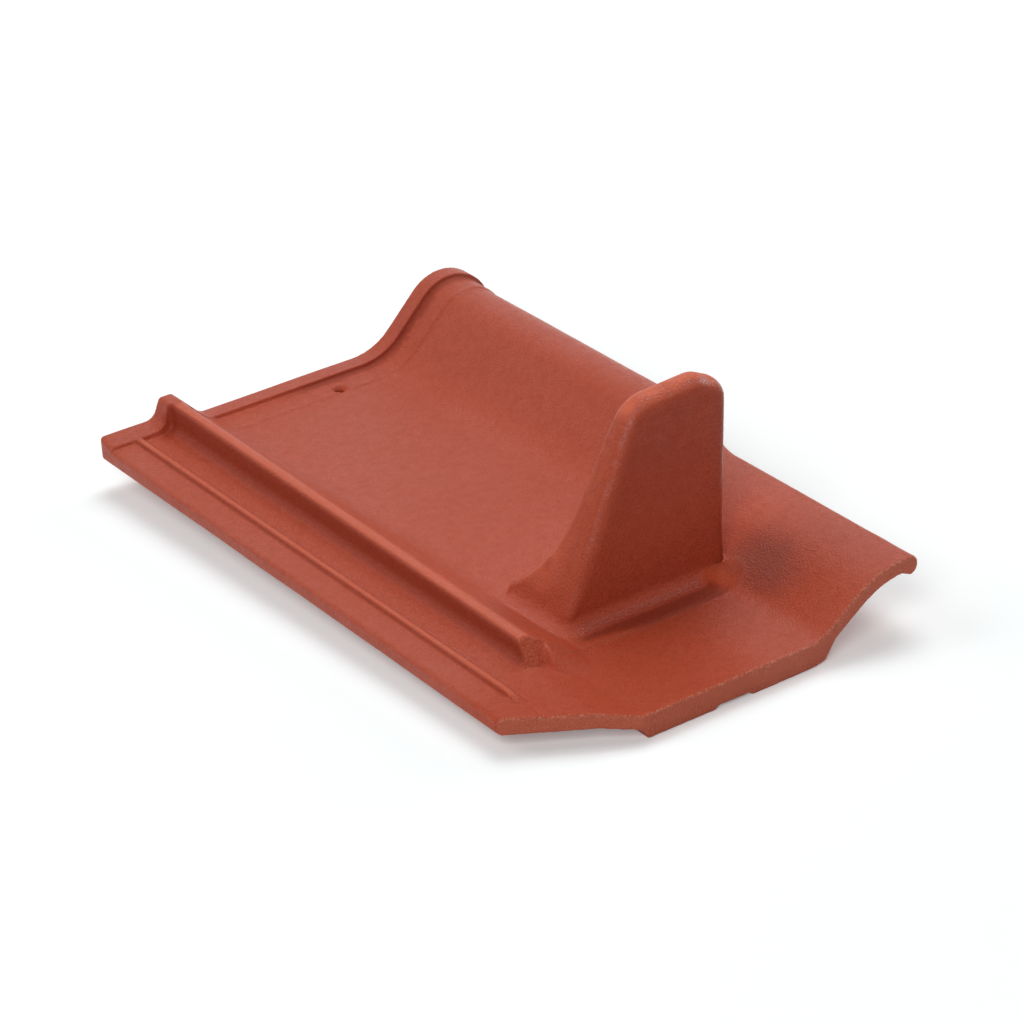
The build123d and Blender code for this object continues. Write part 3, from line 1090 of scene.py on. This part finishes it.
@dataclass
class FootCrumbs:
    """Crumbs of clay along the upper edge of the cut foot.

    Attributes:
        sizes: Sizes of the tile.
        spacing: Distance between crumbs, in metres.
        crumb_size: Radius of a crumb, in metres.
        stray: How far a crumb lies off the edge, in metres.
        seed: Seed of their places.
    """

    sizes: TileSizes
    spacing: float = 0.0018
    crumb_size: float = 0.00024
    stray: float = 0.0004
    seed: int = 7

    def build(self, tile: Object, crumb: Material) -> Object:
        """Strews the crumbs.

        Args:
            tile: The dressed tile, whose foot edge they follow.
            crumb: Their finish.

        Returns:
            All crumbs in one mesh.
        """
        line = self.foot_line(tile.data)
        mesh = bpy.data.meshes.new("foot_crumbs")
        mesh.from_pydata(line, [(index, index + 1) for index in range(len(line) - 1)], [])
        crumbs = add_object("foot_crumbs", mesh)
        strewn = crumbs.modifiers.new("strewn", "NODES")
        strewn.node_group = self.tree()
        values = {"Spacing": self.spacing, "Size": self.crumb_size, "Stray": self.stray}
        values |= {"Seed": self.seed, "Clay": crumb}
        for item in strewn.node_group.interface.items_tree:
            if item.name in values:
                strewn[item.identifier] = values[item.name]
        bake(crumbs)
        return crumbs

    def foot_line(self, mesh: Mesh) -> list[Triple]:
        """Upper edge of the cut faces, read off the dressed tile.

        Args:
            mesh: The dressed tile's mesh.

        Returns:
            Points along the edge, in the part's frame.
        """
        size, clay = self.sizes, ClayMesh(mesh)
        place = size.from_part(clay.points)
        edge = TileSurface(size, place, clay.normals).cut_distance()
        rim = place[(edge < 1.6) & (place[:, 2] > -6.0) & (place[:, 1] < size.cut_length)]
        points = []
        for across in np.arange(2.0, 2.0 * size.half_width - 6.0, 2.0):
            near = rim[np.abs(rim[:, 0] - across) < 1.2]
            if len(near):
                ahead = max(0.0, size.cut_length * (1.0 - across / size.cut_width))
                points.append((across, ahead + 1.0, near[:, 2].max() + 0.05))
        return [tuple(point) for point in size.to_part(np.array(points))]

    def tree(self) -> NodeTree:
        """Geometry nodes that strew crumbs along a line.

        Returns:
            The tree.
        """
        tree = bpy.data.node_groups.new("strew_crumbs", "GeometryNodeTree")
        kinds = {"Geometry": "Geometry", "Spacing": "Float", "Size": "Float", "Stray": "Float"}
        for name, kind in {**kinds, "Seed": "Int", "Clay": "Material"}.items():
            tree.interface.new_socket(name, in_out="INPUT", socket_type=f"NodeSocket{kind}")
        tree.interface.new_socket("Geometry", in_out="OUTPUT", socket_type="NodeSocketGeometry")
        bench = NodeBench(tree)
        start = bench.add("NodeGroupInput").outputs
        curve = bench.add("GeometryNodeMeshToCurve", {"Mesh": start["Geometry"]})
        line = {"Curve": curve.outputs[0], "Length": start["Spacing"]}
        beads = bench.add("GeometryNodeResampleCurve", line, mode="LENGTH")
        limits = {"Min": (-1.0, -1.0, -0.6), "Max": (1.0, 1.0, 0.2), "Seed": start["Seed"]}
        stray = bench.add("FunctionNodeRandomValue", limits, data_type="FLOAT_VECTOR")
        scaled = {0: stray.outputs[0], "Scale": start["Stray"]}
        reach = bench.add("ShaderNodeVectorMath", scaled, operation="SCALE")
        shifted = {"Geometry": beads.outputs[0], "Offset": reach.outputs[0]}
        moved = bench.add("GeometryNodeSetPosition", shifted)
        crumb = bench.add("GeometryNodeMeshIcoSphere", {"Radius": start["Size"]})
        limits = {"Min": (0.3, 0.3, 0.25), "Max": (1.5, 1.2, 0.9), "Seed": start["Seed"]}
        size = bench.add("FunctionNodeRandomValue", limits, data_type="FLOAT_VECTOR")
        copies = {"Points": moved.outputs[0], "Scale": size.outputs[0]}
        copies["Instance"] = crumb.outputs[0]
        strewn = bench.add("GeometryNodeInstanceOnPoints", copies)
        real = bench.add("GeometryNodeRealizeInstances", {"Geometry": strewn.outputs[0]})
        finish = {"Geometry": real.outputs[0], "Material": start["Clay"]}
        painted = bench.add("GeometryNodeSetMaterial", finish)
        bench.add("NodeGroupOutput", {"Geometry": painted.outputs[0]})
        return tree


@dataclass(frozen=True)
class CameraPose:
    """The photograph's camera, solved from the tile's own edges.

    Attributes:
        place: Where it stands, in the part's frame in metres.
        across: Direction of the image's right, in the part's frame.
        down: Direction of the image's lower edge.
        ahead: Direction it looks in.
        focal_share: Focal length over the image's width.
    """

    place: Triple = (-1.03591, -1.56462, 1.02863)
    across: Triple = (0.815425, -0.576288, -0.054537)
    down: Triple = (-0.312031, -0.358238, -0.879944)
    ahead: Triple = (0.487565, 0.734545, -0.471936)
    focal_share: float = 3.7510


@dataclass(frozen=True)
class SoftBox:
    """One soft box of the studio.

    Attributes:
        name: Its name.
        place: Where it hangs, in metres.
        size: Its width in metres.
        power: Its power in watts.
    """

    name: str
    place: Triple
    size: float
    power: float

    def hang(self) -> None:
        """Hangs the box so that it faces the tile."""
        data = bpy.data.lights.new(self.name, "AREA")
        data.size = self.size
        data.energy = self.power
        lamp = add_object(self.name, data)
        lamp.location = self.place
        lamp.rotation_euler = (-Vector(self.place)).to_track_quat("-Z", "Y").to_euler()


@dataclass
class Studio:
    """White floor, soft light and the photograph's camera.

    Attributes:
        sizes: Sizes of the tile, which set the floor's slope.
        pose: Where the camera stands.
        boxes: Soft boxes that light the tile.
        ambient: Level of the even light from all round.
        floor_white: Colour of the floor.
        floor_lift: Light added to the floor where the camera sees it.
    """

    sizes: TileSizes
    pose: CameraPose = field(default_factory=CameraPose)
    boxes: tuple[SoftBox, ...] = (
        SoftBox("high_key", (0.513, 0.513, 2.911), 1.65, 15.6),
        SoftBox("back_right", (1.124, 1.124, 2.544), 1.65, 33.7),
        SoftBox("back_left", (-1.672, 1.672, 1.847), 1.65, 20.9),
        SoftBox("front_fill", (-1.672, -1.672, 1.847), 1.65, 39.3),
        SoftBox("right_edge", (2.853, 0.0, 0.927), 1.65, 21.8),
    )
    ambient: float = 0.02
    floor_white: Colour = (0.89, 0.925, 0.93)
    floor_lift: float = 0.20

    def build(self) -> None:
        """Builds the whole studio."""
        self.floor()
        self.world()
        for box in self.boxes:
            box.hang()
        self.camera()

    def floor(self) -> None:
        """Lays the floor under the nibs and the foot rib, which the tile rests on."""
        size = self.sizes
        slope = (size.nib_bottom - size.foot_rib_bottom) / size.nib_line
        level = (size.foot_rib_bottom - size.nib_bottom) * MILLIMETRE
        foot = -size.length / 2 * MILLIMETRE
        ends = [(x * FLOOR_REACH, y * FLOOR_REACH) for x, y in ((-1, -1), (1, -1), (1, 1), (-1, 1))]
        mesh = bpy.data.meshes.new("studio_floor")
        mesh.from_pydata([(x, y, level + slope * (y - foot)) for x, y in ends], [], [(0, 1, 2, 3)])
        floor = add_object("studio_floor", mesh)
        mesh.materials.append(self.floor_paint())

    def floor_paint(self) -> Material:
        """White paint that lets the shadow show and is lifted to white for the camera.

        Returns:
            The material.
        """
        paint = bpy.data.materials.new("studio_white")
        paint.use_nodes = True
        paint.node_tree.nodes.clear()
        bench = NodeBench(paint.node_tree)
        matt = bench.add("ShaderNodeBsdfDiffuse", {"Color": self.floor_white})
        level = bench.remap(self.seen(bench), (0.0, 1.0), (0.0, self.floor_lift))
        lift = bench.add("ShaderNodeEmission", {"Strength": level})
        both = bench.add("ShaderNodeAddShader", {0: matt.outputs[0], 1: lift.outputs[0]})
        bench.add("ShaderNodeOutputMaterial", {"Surface": both.outputs[0]})
        return paint

    def seen(self, bench: NodeBench) -> NodeSocket:
        """Tells rays that show the background from those that only light the tile.

        Args:
            bench: Bench of the tree.

        Returns:
            1 for camera, glossy and transmission rays.
        """
        path = bench.add("ShaderNodeLightPath")
        shown = bench.math("MAXIMUM", path.outputs["Is Camera Ray"], path.outputs["Is Glossy Ray"])
        return bench.math("MAXIMUM", shown, path.outputs["Is Transmission Ray"])

    def world(self) -> None:
        """Even soft light from all round, white to the camera."""
        world = bpy.data.worlds.new("studio")
        bpy.context.scene.world = world
        world.use_nodes = True
        bench = NodeBench(world.node_tree)
        level = bench.remap(self.seen(bench), (0.0, 1.0), (self.ambient, 1.0))
        bench.feed(world.node_tree.nodes["Background"], {"Color": (1.0, 1.0, 1.0), "Strength": level})

    def camera(self) -> None:
        """Sets the photograph's camera."""
        pose = self.pose
        data = bpy.data.cameras.new("photo_camera")
        data.sensor_width = SENSOR_WIDTH
        data.lens = SENSOR_WIDTH * pose.focal_share
        data.clip_end = 60.0
        camera = add_object("photo_camera", data)
        turn = Matrix((pose.across, -Vector(pose.down), -Vector(pose.ahead))).transposed()
        camera.matrix_world = Matrix.Translation(pose.place) @ turn.to_4x4()
        bpy.context.scene.camera = camera


def main() -> None:
    """Builds the dressed tile and its studio."""
    logging.basicConfig(level=logging.INFO, format="%(name)s: %(message)s")
    bpy.ops.wm.read_factory_settings(use_empty=True)
    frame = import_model()
    bpy.context.scene.view_settings.view_transform = "Standard"
    sizes = TileSizes()
    grain = ClayGrain().build()
    tile = PressedTile(sizes).build(frame["nodes"][TILE_NODE], EngobedClay().build(grain))
    crumbs = FootCrumbs(sizes).build(tile, BareCrumb().build(grain))
    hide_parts(TILE_NODE)
    for thing in (tile, crumbs):
        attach(thing, "root")
        LOG.info("%s: %d triangles", thing.name, triangle_count(thing.data))
    Studio(sizes).build()
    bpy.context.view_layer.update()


if __name__ == "__main__":
    main()
